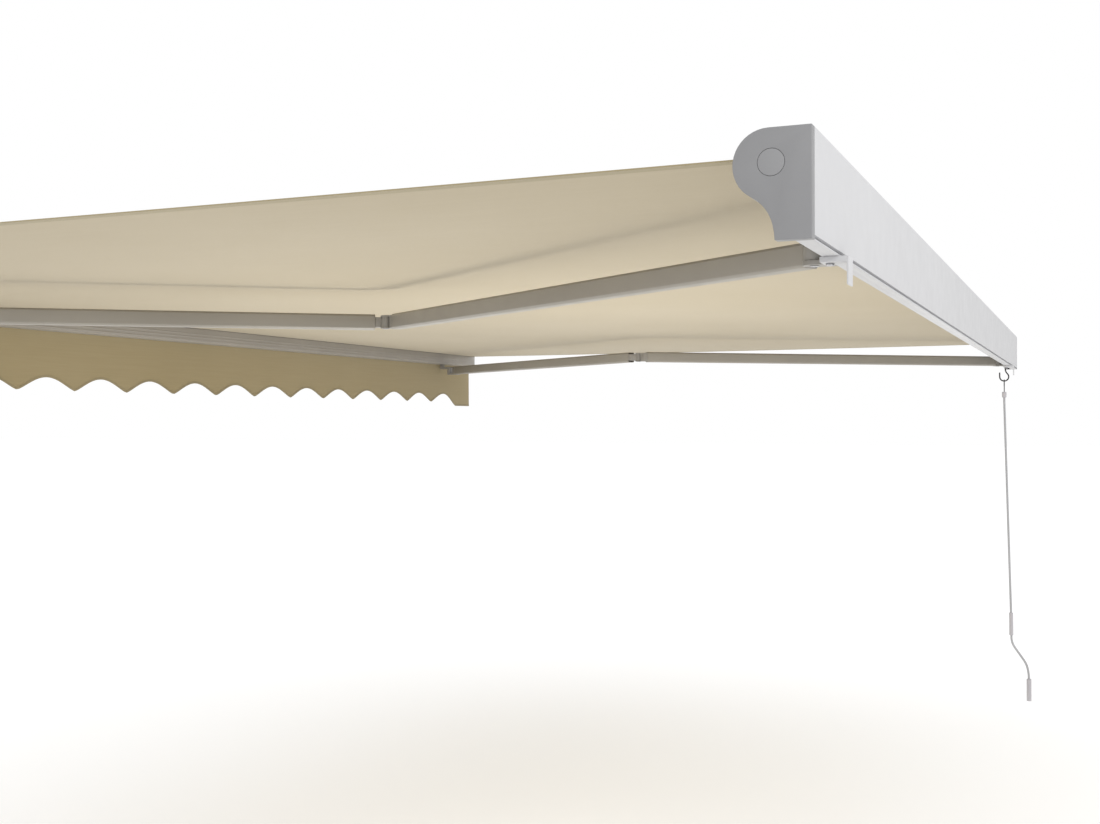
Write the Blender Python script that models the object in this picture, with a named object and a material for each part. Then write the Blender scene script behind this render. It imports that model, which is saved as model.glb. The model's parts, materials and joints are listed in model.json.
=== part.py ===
"""Folding-arm canvas awning with its cassette, gear and crank, as separate solids in metres.

The wall is the plane y = 0, the awning projects along -Y and its width runs along X.
"""
import math

import bmesh
import bpy
from mathutils import Matrix, Vector

# Overall layout
WIDTH = 5.0
RIGHT_X = 0.2247
LEFT_X = RIGHT_X - WIDTH
MIDDLE_X = RIGHT_X - WIDTH / 2
BACK_Y = -0.0145
BASE_Z = 0.0225
GAP = 0.0003

# Cassette section, measured from its back face and its bottom
CASSETTE_HEIGHT = 0.1607
NOSE_CENTRE = (-0.0625, 0.1087)
NOSE_RADIUS = 0.052
NOSE_END_DEG = 238.9
SLOT_TOP_DEG = 152.6
SLOT_BOTTOM_DEG = 169.7
SKIN = 0.0025
FRONT_FOOT = (-0.0535, 0.0)
THROAT_LEAD = (-0.0632, 0.0499)
THROAT_TRAIL = (-0.0545, 0.028)
STRIP_DEPTH = 0.0273
GROOVE_LOW = 0.0018
GROOVE_HIGH = 0.0072
GROOVE_DEPTH = 0.008
FLANGE_DEPTH = 0.050
CAP_DEPTH = 0.019
CAP_WALL = 0.003
CAP_PLATE = 0.004

# Roller
ROLLER_CENTRE = (-0.0585, 0.1112)
TUBE_RADIUS = 0.030
TUBE_WALL = 0.002
ROLL_RADIUS = 0.032
SHAFT_RADIUS = 0.006
RUNNING_GAP = 0.0001
BEARING_RADIUS = 0.022
DISC_RADIUS = 0.0196
ROLLER_RIGHT = 0.026
ROLLER_LEFT = 0.0425
PLUG_LENGTH = 0.045

# Gearbox and winding eye
GEARBOX_RADIUS = 0.040
GEARBOX_NEAR = 0.0415
NECK_Y = (-0.071, -0.037)
NECK_FOOT_Z = 0.0153
EYE_X = LEFT_X + 0.031
EYE_Y = -0.054
EYE_WIRE = 0.0036
CRANK_WIRE = 0.0024
ROD_RADIUS = 0.0058
GRIP_RADIUS = 0.0112

# Canopy and valance
CLOTH = 0.001
CANOPY_INSET = 0.0427
CANOPY_BEND = (-0.1100, 0.1261)
CANOPY_FRONT_Z = 0.1196
GUIDE_CENTRE = (-0.1091, 0.1296)
GUIDE_RADIUS = 0.0022
KEDER_RADIUS = 0.0019
VALANCE_CREST_Z = -0.1015
VALANCE_POINT_Z = -0.1475
VALANCE_END_Z = -0.1675
VALANCE_END_FLAT = 0.170
VALANCE_END_SCALLOP = 0.300
SCALLOPS = 17

# Front bar, measured from the cassette's back face and its bottom
BAR_REAR = -2.9855
BAR_DEPTH = 0.050
BAR_TOP = 0.1275
BAR_FOOT = 0.0595
BAR_CAP = 0.004
HOLDER_REACH = 0.034
VALANCE_Y = BAR_REAR - BAR_DEPTH + 0.0130

# Arms
SHOULDER = Vector((RIGHT_X - 0.3546, BACK_Y - 0.0680, 0.0))
LINK_LENGTH = 1.7671
REST_DEG = 36.25
ARM_WIDTH = 0.036
ARM_LOW = 0.0034
ARM_HIGH = 0.0471
ARM_WALL = 0.003
FOLD_GAP = 0.0015
KNUCKLE_LOW = 0.0113
KNUCKLE_HIGH = 0.0392
SHOULDER_EYE = 0.018
SHOULDER_LUG = 0.020
SMALL_EYE = 0.0135
SMALL_LUG = 0.0155
SLOT_CLEARANCE = 0.0035
NECK_CLEARANCE = 0.0400
PIN_RADIUS = 0.005
PIN_HEAD = 0.008
PIN_HEAD_HEIGHT = 0.0012
CASTING_LENGTH = 0.030
PLUG_REACH = 0.050
PLUG_INSET = 0.0036
SPRING_RADIUS = 0.0115
SPRING_WIRE = 0.002
SPRING_TURNS = 12
SPRING_STEPS = 8
SPRING_START = 0.14
SPRING_LENGTH = 0.48

# Wall brackets, by the distance of their right edge from the cassette's right end
BRACKET_EDGES = {"right": 0.2057, "left": 4.4697}
BRACKET_WIDTH = 0.038
BRACKET_LEG = 0.009
BRACKET_FRONT = -0.0305
BRACKET_TAB = 0.003
BRACKET_DROP = 0.045
BOLT_RADIUS = 0.0038
BOLT_HOLE = 0.0041
BOLT_Y = -0.0175

FINE = 24
COARSE = 12
PIN_SIDES = 16


def clear_scene():
    for obj in list(bpy.data.objects):
        bpy.data.objects.remove(obj, do_unlink=True)


def material(name, color, metallic, roughness):
    made = bpy.data.materials.new(name)
    made.use_nodes = True
    shader = made.node_tree.nodes["Principled BSDF"]
    shader.inputs["Base Color"].default_value = (*color, 1.0)
    shader.inputs["Metallic"].default_value = metallic
    shader.inputs["Roughness"].default_value = roughness
    return made


def powder_coat(name):
    return material(name, (0.62, 0.62, 0.64), 0.3, 0.45)


def grey_plastic(name):
    return material(name, (0.29, 0.29, 0.30), 0.0, 0.5)


def steel(name):
    return material(name, (0.55, 0.55, 0.56), 0.9, 0.35)


def black_steel(name):
    return material(name, (0.03, 0.03, 0.03), 0.4, 0.45)


def canvas(name):
    return material(name, (0.62, 0.55, 0.39), 0.0, 0.9)


def world(y, z):
    """A point of the cassette's section, in world Y and Z."""
    return BACK_Y + y, BASE_Z + z


def finish(bm, name, stuff, origin=(0.0, 0.0, 0.0), smooth=False):
    """Turn a closed bmesh in world coordinates into a named object with its origin on its axis."""
    bmesh.ops.recalc_face_normals(bm, faces=bm.faces[:])
    bmesh.ops.translate(bm, verts=bm.verts[:], vec=-Vector(origin))
    mesh = bpy.data.meshes.new(name)
    bm.to_mesh(mesh)
    bm.free()
    mesh.materials.append(stuff)
    obj = bpy.data.objects.new(name, mesh)
    obj.location = origin
    bpy.context.scene.collection.objects.link(obj)
    if smooth:
        mesh.shade_smooth()
        mesh.set_sharp_from_angle(angle=math.radians(35))
    return obj


def loop_edges(bm, points):
    corners = [bm.verts.new(point) for point in points]
    return [bm.edges.new(pair) for pair in zip(corners, corners[1:] + corners[:1])]


def sweep(bm, travel):
    """Close a flat region of faces into a solid by extruding it."""
    made = bmesh.ops.extrude_face_region(bm, geom=bm.faces[:])
    moved = [item for item in made["geom"] if isinstance(item, bmesh.types.BMVert)]
    bmesh.ops.translate(bm, verts=moved, vec=travel)
    return bm


def flat_region(outline, hole=()):
    """A flat face filled between an outline and an optional hole, both lists of 3-D points."""
    bm = bmesh.new()
    edges = loop_edges(bm, outline)
    if hole:
        edges += loop_edges(bm, hole)
    bmesh.ops.triangle_fill(bm, edges=edges, use_beauty=True, use_dissolve=False)
    return bm


def extrusion(outline, x_start, x_end, hole=()):
    """A section drawn in the cassette's Y and Z, run along X."""
    region = flat_region(
        [(x_start, *world(y, z)) for y, z in outline],
        [(x_start, *world(y, z)) for y, z in hole],
    )
    return sweep(region, (x_end - x_start, 0.0, 0.0))


def box(low, high):
    region = flat_region(
        [
            (low[0], low[1], low[2]),
            (high[0], low[1], low[2]),
            (high[0], high[1], low[2]),
            (low[0], high[1], low[2]),
        ]
    )
    return sweep(region, (0.0, 0.0, high[2] - low[2]))


def circle(centre, radius, segments, start_deg=0.0, end_deg=360.0):
    """Points of an arc; a full circle leaves its last point out."""
    full = abs(end_deg - start_deg) >= 360.0
    count = segments if full else segments + 1
    points = []
    for step in range(count):
        angle = math.radians(start_deg + (end_deg - start_deg) * step / segments)
        points.append((centre[0] + radius * math.cos(angle), centre[1] + radius * math.sin(angle)))
    return points


def bezier(first, lead, trail, last, share):
    rest = 1.0 - share
    return tuple(
        rest**3 * a + 3 * rest**2 * share * b + 3 * rest * share**2 * c + share**3 * d
        for a, b, c, d in zip(first, lead, trail, last)
    )


def offset_path(path, distance):
    """A copy of an open path, moved to its left by a distance."""
    moved = []
    for index, point in enumerate(path):
        before = Vector(path[max(index - 1, 0)])
        after = Vector(path[min(index + 1, len(path) - 1)])
        along = (after - before).normalized()
        moved.append((point[0] - along.y * distance, point[1] + along.x * distance))
    return moved


def lathe(profile, base, axis, segments=FINE):
    """A solid turned about an axis. The profile lists (radius, distance along the axis)."""
    axis = Vector(axis).normalized()
    side = axis.orthogonal().normalized()
    base = Vector(base)
    bm = bmesh.new()
    verts = [bm.verts.new(base + side * radius + axis * height) for radius, height in profile]
    edges = [bm.edges.new(pair) for pair in zip(verts, verts[1:])]
    bmesh.ops.spin(
        bm,
        geom=verts + edges,
        cent=base,
        axis=axis,
        angle=math.tau,
        steps=segments,
        use_merge=True,
    )
    bmesh.ops.remove_doubles(bm, verts=bm.verts[:], dist=0.00001)
    return bm


def rod(start, end, radius, segments=COARSE):
    start, end = Vector(start), Vector(end)
    length = (end - start).length
    return lathe([(0.0, 0.0), (radius, 0.0), (radius, length), (0.0, length)], start, end - start, segments)


def ring(start, end, outer, inner, segments=FINE):
    start, end = Vector(start), Vector(end)
    length = (end - start).length
    profile = [(inner, 0.0), (outer, 0.0), (outer, length), (inner, length), (inner, 0.0)]
    return lathe(profile, start, end - start, segments)


def cut(target, cutters):
    """Take each cutter's volume away from a target."""
    for cutter in cutters:
        cutter.hide_render = True
        cutter.display_type = "WIRE"
        change = target.modifiers.new("cut", "BOOLEAN")
        change.operation = "DIFFERENCE"
        change.solver = "EXACT"
        change.object = cutter


def wire(name, stuff, points, radius, origin, smooth_sides=3):
    """A bent round bar through the given world points."""
    curve = bpy.data.curves.new(name, "CURVE")
    curve.dimensions = "3D"
    curve.bevel_depth = radius
    curve.bevel_resolution = smooth_sides
    curve.use_fill_caps = True
    spline = curve.splines.new("POLY")
    spline.points.add(len(points) - 1)
    origin = Vector(origin)
    for slot, point in zip(spline.points, points):
        slot.co = (*(Vector(point) - origin), 1.0)
    curve.materials.append(stuff)
    obj = bpy.data.objects.new(name, curve)
    obj.location = origin
    bpy.context.scene.collection.objects.link(obj)
    return obj


def rounded_path(corners, radius, steps=5):
    """Replace each inner corner of a path with a smooth bend."""
    points = [Vector(corners[0])]
    for before, corner, after in zip(corners, corners[1:], corners[2:]):
        before, corner, after = Vector(before), Vector(corner), Vector(after)
        reach = min(radius, (corner - before).length * 0.49, (after - corner).length * 0.49)
        first = corner + (before - corner).normalized() * reach
        last = corner + (after - corner).normalized() * reach
        for step in range(steps + 1):
            share = step / steps
            points.append(first * (1 - share) ** 2 + corner * 2 * share * (1 - share) + last * share**2)
    points.append(Vector(corners[-1]))
    return points


# Cassette


def nose_arc(start_deg, end_deg, steps):
    return circle(NOSE_CENTRE, NOSE_RADIUS, steps, start_deg, end_deg)


def throat(last_share, steps):
    start = nose_arc(NOSE_END_DEG, NOSE_END_DEG + 1.0, 1)[0]
    shares = [last_share * (step + 1) / steps for step in range(steps)]
    return [bezier(start, THROAT_LEAD, THROAT_TRAIL, FRONT_FOOT, share) for share in shares]


def cap_outline():
    return (
        [(0.0, 0.0), (0.0, CASSETTE_HEIGHT)]
        + nose_arc(90.0, NOSE_END_DEG, 18)
        + throat(1.0, 8)
    )


def back_profile():
    outline = [
        (0.0, 0.0),
        (0.0, GROOVE_LOW),
        (-GROOVE_DEPTH, GROOVE_LOW),
        (-GROOVE_DEPTH, GROOVE_HIGH),
        (0.0, GROOVE_HIGH),
        (0.0, CASSETTE_HEIGHT),
        (-FLANGE_DEPTH, CASSETTE_HEIGHT),
        (-FLANGE_DEPTH, CASSETTE_HEIGHT - SKIN),
        (-SKIN, CASSETTE_HEIGHT - SKIN),
        (-SKIN, GROOVE_HIGH + SKIN),
        (-GROOVE_DEPTH - SKIN, GROOVE_HIGH + SKIN),
        (-GROOVE_DEPTH - SKIN, SKIN),
        (-STRIP_DEPTH, SKIN),
        (-STRIP_DEPTH, 0.0),
    ]
    bm = extrusion(outline, LEFT_X + CAP_DEPTH + GAP, RIGHT_X - CAP_DEPTH - GAP)
    profile = finish(bm, "back_profile", powder_coat("back_profile"))
    holes = []
    for side in BRACKET_EDGES:
        x = bracket_centre(side)
        y, low = world(BOLT_Y, -SKIN)
        hole = rod((x, y, low), (x, y, low + 4 * SKIN), BOLT_HOLE)
        holes.append(finish(hole, f"profile_hole_{side}", steel("cutter")))
    cut(profile, holes)


def hood_profile():
    path = [(-FLANGE_DEPTH - GAP, CASSETTE_HEIGHT)] + nose_arc(90.0, SLOT_TOP_DEG, 8)
    outline = path + offset_path(path, SKIN)[::-1]
    bm = extrusion(outline, LEFT_X + CAP_DEPTH + GAP, RIGHT_X - CAP_DEPTH - GAP)
    finish(bm, "hood_profile", powder_coat("hood_profile"), smooth=True)


def bottom_tray():
    path = nose_arc(SLOT_BOTTOM_DEG, NOSE_END_DEG, 9) + throat(0.3, 3)
    path.append((-SKIN - GAP, path[-1][1]))
    outline = path + offset_path(path, SKIN * 0.9)[::-1]
    bm = extrusion(outline, LEFT_X + CAP_DEPTH + GAP, RIGHT_X - CAP_DEPTH - GAP)
    tray = finish(bm, "bottom_tray", powder_coat("bottom_tray"), smooth=True)
    low = world(NECK_Y[0] - CLOTH, NECK_FOOT_Z)
    high = world(NECK_Y[1] + CLOTH, NOSE_CENTRE[1] - GEARBOX_RADIUS / 2)
    hole = box(
        (LEFT_X + CAP_DEPTH - CLOTH, *low),
        (LEFT_X + GEARBOX_NEAR + CLOTH, *high),
    )
    cut(tray, [finish(hole, "tray_hole", steel("cutter"))])


def end_cap(side):
    """A cup-shaped cap: a plate with a rim that runs in over the profiles' ends."""
    end, inward = (RIGHT_X, -1) if side == "right" else (LEFT_X, 1)
    name = f"end_cap_{side}"
    bm = flat_region([(end, *world(y, z)) for y, z in cap_outline()])
    bmesh.ops.dissolve_faces(bm, faces=bm.faces[:])
    sweep(bm, (inward * CAP_DEPTH, 0.0, 0.0))
    inner = [face for face in bm.faces if abs(face.calc_center_median().x - end) > CAP_DEPTH * 0.9]
    bmesh.ops.inset_region(bm, faces=inner, thickness=CAP_WALL, use_even_offset=True)
    floor = [
        face
        for face in bm.faces
        if len(face.verts) > 4 and abs(face.calc_center_median().x - end) > CAP_DEPTH * 0.9
    ]
    made = bmesh.ops.extrude_face_region(bm, geom=floor)
    moved = [item for item in made["geom"] if isinstance(item, bmesh.types.BMVert)]
    bmesh.ops.translate(bm, verts=moved, vec=(-inward * (CAP_DEPTH - CAP_PLATE), 0.0, 0.0))
    bmesh.ops.delete(bm, geom=[face for face in floor if face.is_valid], context="FACES_ONLY")
    cap = finish(bm, name, grey_plastic(name))
    y, z = world(*ROLLER_CENTRE)
    hole = rod(
        (end - inward * CAP_PLATE, y, z),
        (end + inward * CAP_PLATE * 2, y, z),
        DISC_RADIUS + GAP,
        FINE,
    )
    cut(cap, [finish(hole, f"cap_hole_{side}", steel("cutter"))])


def cap_disc(side):
    end, inward = (RIGHT_X, -1) if side == "right" else (LEFT_X, 1)
    y, z = world(*ROLLER_CENTRE)
    bm = rod((end, y, z), (end + inward * CAP_WALL, y, z), DISC_RADIUS, FINE)
    finish(bm, f"cap_disc_{side}", grey_plastic(f"cap_disc_{side}"), smooth=True)


def roller_bearing():
    """The idler bearing behind the right cap, which the roller's plug turns in."""
    y, z = world(*ROLLER_CENTRE)
    bm = ring(
        (RIGHT_X - CAP_PLATE - GAP, y, z),
        (RIGHT_X - CAP_DEPTH, y, z),
        BEARING_RADIUS,
        SHAFT_RADIUS + RUNNING_GAP,
    )
    finish(bm, "roller_bearing", grey_plastic("roller_bearing"), smooth=True)


def gearbox():
    """The worm gear's housing, with a neck that comes out below the tray."""
    start = LEFT_X + CAP_DEPTH + GAP
    outline = [(NECK_Y[0], NECK_FOOT_Z), (NECK_Y[1], NECK_FOOT_Z)]
    reach = [y - ROLLER_CENTRE[0] for y in NECK_Y]
    first = -math.degrees(math.acos(reach[1] / GEARBOX_RADIUS))
    last = 360.0 - math.degrees(math.acos(reach[0] / GEARBOX_RADIUS))
    outline += circle(ROLLER_CENTRE, GEARBOX_RADIUS, 22, first, last)
    bm = extrusion(outline, start, LEFT_X + GEARBOX_NEAR)
    housing = finish(bm, "gearbox", grey_plastic("gearbox"), smooth=True)
    y, z = world(*ROLLER_CENTRE)
    shaft = rod(
        (LEFT_X + GEARBOX_NEAR - 0.018, y, z),
        (LEFT_X + GEARBOX_NEAR + 0.004, y, z),
        SHAFT_RADIUS + RUNNING_GAP,
        FINE,
    )
    y, z = world(EYE_Y, NECK_FOOT_Z)
    socket = rod((EYE_X, y, z - 0.004), (EYE_X, y, z + 0.018), EYE_WIRE + GAP)
    cut(
        housing,
        [
            finish(shaft, "gearbox_shaft_hole", steel("cutter")),
            finish(socket, "gearbox_eye_hole", steel("cutter")),
        ],
    )


def canopy_path():
    """The cloth's middle line, from the roll over the guide to the front bar."""
    bend = Vector(CANOPY_BEND)
    centre = Vector(ROLLER_CENTRE)
    radius = ROLL_RADIUS + GAP + CLOTH / 2
    reach = bend - centre
    turn = math.atan2(reach.y, reach.x) - math.acos(radius / reach.length)
    leave = centre + Vector((math.cos(turn), math.sin(turn))) * radius
    return [tuple(leave), CANOPY_BEND, (BAR_REAR - 0.004, CANOPY_FRONT_Z)]


def canopy():
    path = offset_path(canopy_path(), -CLOTH / 2)
    outline = path + offset_path(canopy_path(), CLOTH / 2)[::-1]
    bm = extrusion(outline, LEFT_X + CANOPY_INSET, RIGHT_X - CANOPY_INSET)
    finish(bm, "canopy", canvas("canopy"))


def fabric_guide():
    y, z = world(*GUIDE_CENTRE)
    ends = (LEFT_X + CAP_DEPTH + GAP, y, z), (RIGHT_X - CAP_DEPTH - GAP, y, z)
    finish(rod(*ends, GUIDE_RADIUS), "fabric_guide", grey_plastic("fabric_guide"), smooth=True)


def bracket_centre(side):
    return RIGHT_X - BRACKET_EDGES[side] - BRACKET_WIDTH / 2


def wall_bracket(side):
    """An angle: a leg under the cassette and a tab that hangs flat against the wall."""
    wall = -BACK_Y
    outline = [
        (BRACKET_FRONT, -GAP),
        (BRACKET_FRONT, -GAP - BRACKET_LEG),
        (wall - BRACKET_TAB, -GAP - BRACKET_LEG),
        (wall - BRACKET_TAB, -BRACKET_DROP),
        (wall, -BRACKET_DROP),
        (wall, -GAP),
    ]
    x = bracket_centre(side)
    bm = extrusion(outline, x - BRACKET_WIDTH / 2, x + BRACKET_WIDTH / 2)
    bracket = finish(bm, f"wall_bracket_{side}", powder_coat(f"wall_bracket_{side}"))
    y, z = world(BOLT_Y, 0.0)
    hole = rod((x, y, z - 2 * BRACKET_LEG), (x, y, z + BRACKET_LEG), BOLT_HOLE)
    cut(bracket, [finish(hole, f"bracket_hole_{side}", steel("cutter"))])


def bracket_bolt(side):
    x = bracket_centre(side)
    y, top = world(BOLT_Y, 0.006)
    head = 0.0035
    under = 0.006 + BRACKET_LEG + 2 * GAP
    profile = [
        (0.0, 0.0),
        (BOLT_RADIUS, 0.0),
        (BOLT_RADIUS, under),
        (BOLT_RADIUS * 1.8, under),
        (BOLT_RADIUS * 1.8, under + head),
        (0.0, under + head),
    ]
    bm = lathe(profile, (x, y, top), (0.0, 0.0, -1.0), COARSE)
    finish(bm, f"bracket_bolt_{side}", steel(f"bracket_bolt_{side}"))


# Roller


def roller_tube():
    y, z = world(*ROLLER_CENTRE)
    ends = (LEFT_X + ROLLER_LEFT, y, z), (RIGHT_X - ROLLER_RIGHT, y, z)
    bm = ring(*ends, TUBE_RADIUS, TUBE_RADIUS - TUBE_WALL)
    finish(bm, "roller_tube", steel("roller_tube"), (MIDDLE_X, y, z), smooth=True)


def roller_plug(side):
    end, inward, stub = (
        (RIGHT_X - ROLLER_RIGHT, -1, ROLLER_RIGHT - CAP_PLATE - 0.003)
        if side == "right"
        else (LEFT_X + ROLLER_LEFT, 1, ROLLER_LEFT - GEARBOX_NEAR + 0.015)
    )
    y, z = world(*ROLLER_CENTRE)
    body = TUBE_RADIUS - TUBE_WALL - GAP
    profile = [
        (0.0, 0.0),
        (SHAFT_RADIUS, 0.0),
        (SHAFT_RADIUS, stub),
        (body, stub),
        (body, stub + PLUG_LENGTH),
        (0.0, stub + PLUG_LENGTH),
    ]
    bm = lathe(profile, (end - inward * stub, y, z), (inward, 0.0, 0.0))
    finish(bm, f"roller_plug_{side}", grey_plastic(f"roller_plug_{side}"), (end, y, z), smooth=True)


def fabric_roll():
    y, z = world(*ROLLER_CENTRE)
    ends = (LEFT_X + CANOPY_INSET, y, z), (RIGHT_X - CANOPY_INSET, y, z)
    bm = ring(*ends, ROLL_RADIUS, TUBE_RADIUS + GAP)
    finish(bm, "fabric_roll", canvas("fabric_roll"), (MIDDLE_X, y, z), smooth=True)


# Winding eye and crank


def eye_origin():
    return (EYE_X, *world(EYE_Y, NECK_FOOT_Z))


def gear_hook():
    """The gear's open winding eye: a shaft that swells into a hook open on its front side."""
    centre = (-0.0578, -0.0365)
    ring_points = circle(centre, 0.0212, 16, 50.0, -180.0)
    path = [(EYE_Y, NECK_FOOT_Z + 0.014), (EYE_Y, NECK_FOOT_Z - 0.012), (-0.0500, -0.0140)]
    path += ring_points + [(centre[0] - 0.0214, -0.0145)]
    points = [(EYE_X, *world(y, z)) for y, z in path]
    wire("gear_hook", black_steel("gear_hook"), points, EYE_WIRE, eye_origin(), 2)


def crank_hook():
    """The crank's wire hook, hung over the bottom of the winding eye."""
    bar_z = -0.0577
    reach = EYE_WIRE + CRANK_WIRE + GAP
    top = circle((EYE_X, bar_z), reach, 8, 0.0, 180.0)
    y = -0.0578
    shape = [(EYE_X + reach + 0.004, bar_z - 0.030), (EYE_X + reach + 0.0005, bar_z - 0.010)]
    shape += top
    shape += [(EYE_X - reach, bar_z - 0.012), (EYE_X, -0.098), (EYE_X, -0.118)]
    points = [(x, BACK_Y + y, BASE_Z + z) for x, z in shape]
    wire("crank_hook", black_steel("crank_hook"), points, CRANK_WIRE, eye_origin(), 2)


def rod_path():
    """Corners of the crank's rod in the section's Y and Z, from the ferrule to the lower end."""
    return [
        (-0.0578, -0.1250),
        (-0.0578, -0.1560),
        (-0.0286, -1.1960),
        (-0.0272, -1.3480),
        (0.0440, -1.4480),
        (0.0538, -1.5000),
        (0.0538, -1.6290),
    ]


def crank_ferrule():
    top = (EYE_X, *world(-0.0578, -0.1107))
    profile = [
        (0.0, 0.0),
        (CRANK_WIRE + GAP, 0.0),
        (0.0095, 0.001),
        (0.0108, 0.004),
        (0.0108, 0.024),
        (0.0090, 0.0286),
        (ROD_RADIUS + GAP, 0.0286),
        (ROD_RADIUS + GAP, 0.0120),
        (0.0, 0.0120),
    ]
    bm = lathe(profile, top, (0.0, 0.0, -1.0))
    ferrule = finish(bm, "crank_ferrule", grey_plastic("crank_ferrule"), eye_origin(), smooth=True)
    y, z = world(-0.0578, -0.118)
    hole = rod((EYE_X, y, z - 0.001), (EYE_X, y, z + 0.02), CRANK_WIRE + GAP)
    cut(ferrule, [finish(hole, "ferrule_hole", steel("cutter"))])


def crank_rod():
    corners = [(EYE_X, *world(y, z)) for y, z in rod_path()]
    points = rounded_path(corners, 0.03)
    wire("crank_rod", powder_coat("crank_rod"), points, ROD_RADIUS, eye_origin(), 2)


def grip(name, start, end):
    """A loose sleeve round the rod."""
    start = (EYE_X, *world(*start))
    end = (EYE_X, *world(*end))
    along = Vector(end) - Vector(start)
    length = along.length
    bore = ROD_RADIUS + GAP
    profile = [
        (bore, 0.0),
        (GRIP_RADIUS - 0.0015, 0.0),
        (GRIP_RADIUS, 0.0015),
        (GRIP_RADIUS, length - 0.0015),
        (GRIP_RADIUS - 0.0015, length),
        (bore, length),
        (bore, 0.0),
    ]
    bm = lathe(profile, start, along, 16)
    finish(bm, name, material(name, (0.47, 0.46, 0.49), 0.0, 0.5), start, smooth=True)


# Arms


def mirrored(point, side):
    """A point of the right half, or its mirror image on the left half."""
    if side == "right":
        return Vector(point)
    return Vector((2 * MIDDLE_X - point[0], point[1], point[2]))


def elbow():
    turn = math.radians(REST_DEG)
    return SHOULDER + Vector((-math.sin(turn), -math.cos(turn), 0.0)) * LINK_LENGTH


def front_pivot():
    turn = math.radians(REST_DEG)
    return elbow() + Vector((math.sin(turn), -math.cos(turn), 0.0)) * LINK_LENGTH


def link_frame(start, end, side):
    """Local x along a link, local y towards the side its tube lies on, local z up."""
    start, end = mirrored(start, side), mirrored(end, side)
    along = (end - start).normalized()
    flip = 1.0 if side == "right" else -1.0
    across = Vector((along.y, -along.x, 0.0)) * flip
    frame = Matrix.Identity(4)
    frame.col[0] = (*along, 0.0)
    frame.col[1] = (*across, 0.0)
    frame.col[3] = (start.x, start.y, BASE_Z, 1.0)
    return frame


def arm_tube(name, frame, origin):
    """A hollow rounded rectangle that runs beside the pivot line."""
    near, far = FOLD_GAP, FOLD_GAP + ARM_WIDTH
    corner = 0.005

    def rounded(inset):
        cut_off = corner - inset * 0.6
        low, high = ARM_LOW + inset, ARM_HIGH - inset
        left, right = near + inset, far - inset
        return [
            (left + cut_off, low),
            (right - cut_off, low),
            (right, low + cut_off),
            (right, high - cut_off),
            (right - cut_off, high),
            (left + cut_off, high),
            (left, high - cut_off),
            (left, low + cut_off),
        ]

    bm = flat_region(
        [(CASTING_LENGTH, *point) for point in rounded(0.0)],
        [(CASTING_LENGTH, *point) for point in rounded(ARM_WALL)],
    )
    sweep(bm, (LINK_LENGTH - 2 * CASTING_LENGTH, 0.0, 0.0))
    bmesh.ops.transform(bm, matrix=frame, verts=bm.verts[:])
    finish(bm, name, powder_coat(name), origin)


def casting(name, frame, at, facing, eye, low, high, origin):
    """An arm's end piece: an eye round the pivot, a neck and a plug inside the tube."""
    near, far = FOLD_GAP, FOLD_GAP + ARM_WIDTH
    start_turn = 180.0 - math.degrees(math.asin(near / eye))
    outline = circle((0.0, 0.0), eye, 14, start_turn, 450.0)
    neck = CASTING_LENGTH - GAP
    inner_near, inner_far = near + ARM_WALL + PLUG_INSET, far - ARM_WALL - PLUG_INSET
    outline += [
        (-eye * 0.75, far),
        (-neck, far),
        (-neck, inner_far),
        (-neck - PLUG_REACH, inner_far),
        (-neck - PLUG_REACH, inner_near),
        (-neck, inner_near),
        (-neck, near),
    ]
    bm = flat_region([(at + facing * s, t, low) for s, t in outline])
    sweep(bm, (0.0, 0.0, high - low))
    bmesh.ops.transform(bm, matrix=frame, verts=bm.verts[:])
    return finish(bm, name, powder_coat(name), origin)


def pin_hole(piece, centre, label):
    z = BASE_Z
    hole = rod(
        (centre.x, centre.y, z - 0.004),
        (centre.x, centre.y, z + ARM_HIGH + 0.006),
        PIN_RADIUS + RUNNING_GAP,
        PIN_SIDES,
    )
    return finish(hole, f"{piece}_{label}", steel("cutter"))


def knuckle_slot(piece, centre, radius):
    """A round pocket that leaves two lugs for another piece's eye to turn between."""
    bm = rod(
        (centre.x, centre.y, BASE_Z + KNUCKLE_LOW - GAP),
        (centre.x, centre.y, BASE_Z + KNUCKLE_HIGH + GAP),
        radius,
        FINE,
    )
    return finish(bm, f"{piece}_slot", steel("cutter"))


def pin(name, centre, bottom=ARM_LOW, top=ARM_HIGH):
    low = BASE_Z + bottom - GAP - PIN_HEAD_HEIGHT
    high = BASE_Z + top + GAP + PIN_HEAD_HEIGHT
    length = high - low
    profile = [
        (0.0, 0.0),
        (PIN_HEAD, 0.0),
        (PIN_HEAD, PIN_HEAD_HEIGHT),
        (PIN_RADIUS, PIN_HEAD_HEIGHT),
        (PIN_RADIUS, length - PIN_HEAD_HEIGHT),
        (PIN_HEAD, length - PIN_HEAD_HEIGHT),
        (PIN_HEAD, length),
        (0.0, length),
    ]
    bm = lathe(profile, (centre.x, centre.y, low), (0.0, 0.0, 1.0), PIN_SIDES)
    finish(bm, name, steel(name), centre, smooth=True)


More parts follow.
